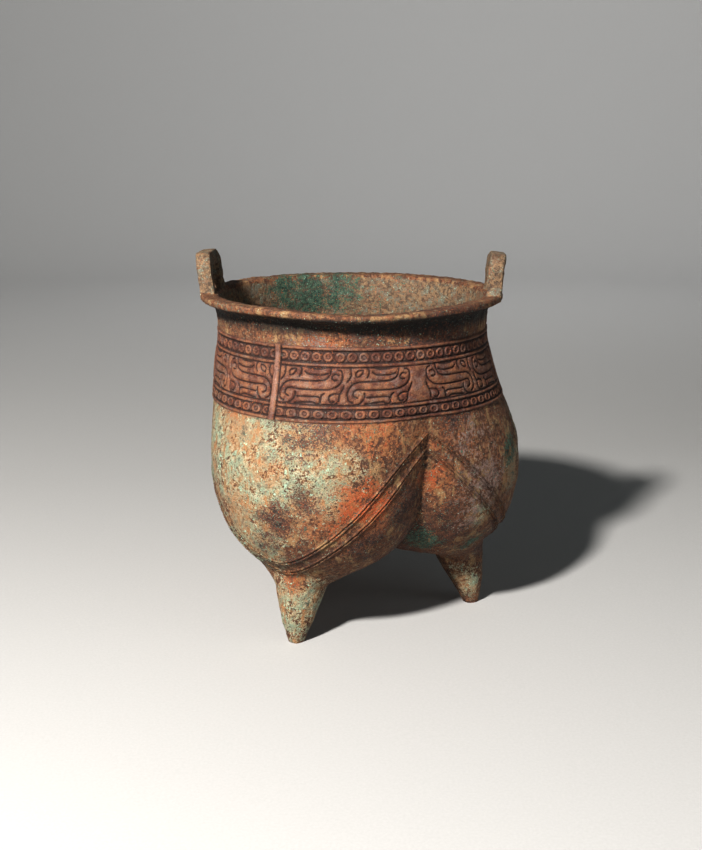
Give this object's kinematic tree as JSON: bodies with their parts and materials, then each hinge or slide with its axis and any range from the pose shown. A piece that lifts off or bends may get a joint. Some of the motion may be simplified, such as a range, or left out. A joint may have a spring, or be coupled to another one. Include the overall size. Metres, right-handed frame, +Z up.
{
  "type": "li tripod vessel",
  "caption": "Hollow cast-bronze li: a round mouth with upright ears over swelling lobes that end in short pointed feet, for heating or serving food; relief frieze and chevron ridges.",
  "frame": {"origin": "centre of the bounding box at the height of the foot tips, where the vessel stands", "axes": "+Z up through the mouth; the ears stand near +X and -X; one foot points to +X, the others to the -X side"},
  "size_m": [0.163, 0.161, 0.1854],
  "materials": {
    "bronze": "corroded, matt, with green and red-brown patina"
  },
  "bodies": {
    "root": {"vessel": "bronze"}
  },
  "joints": []
}
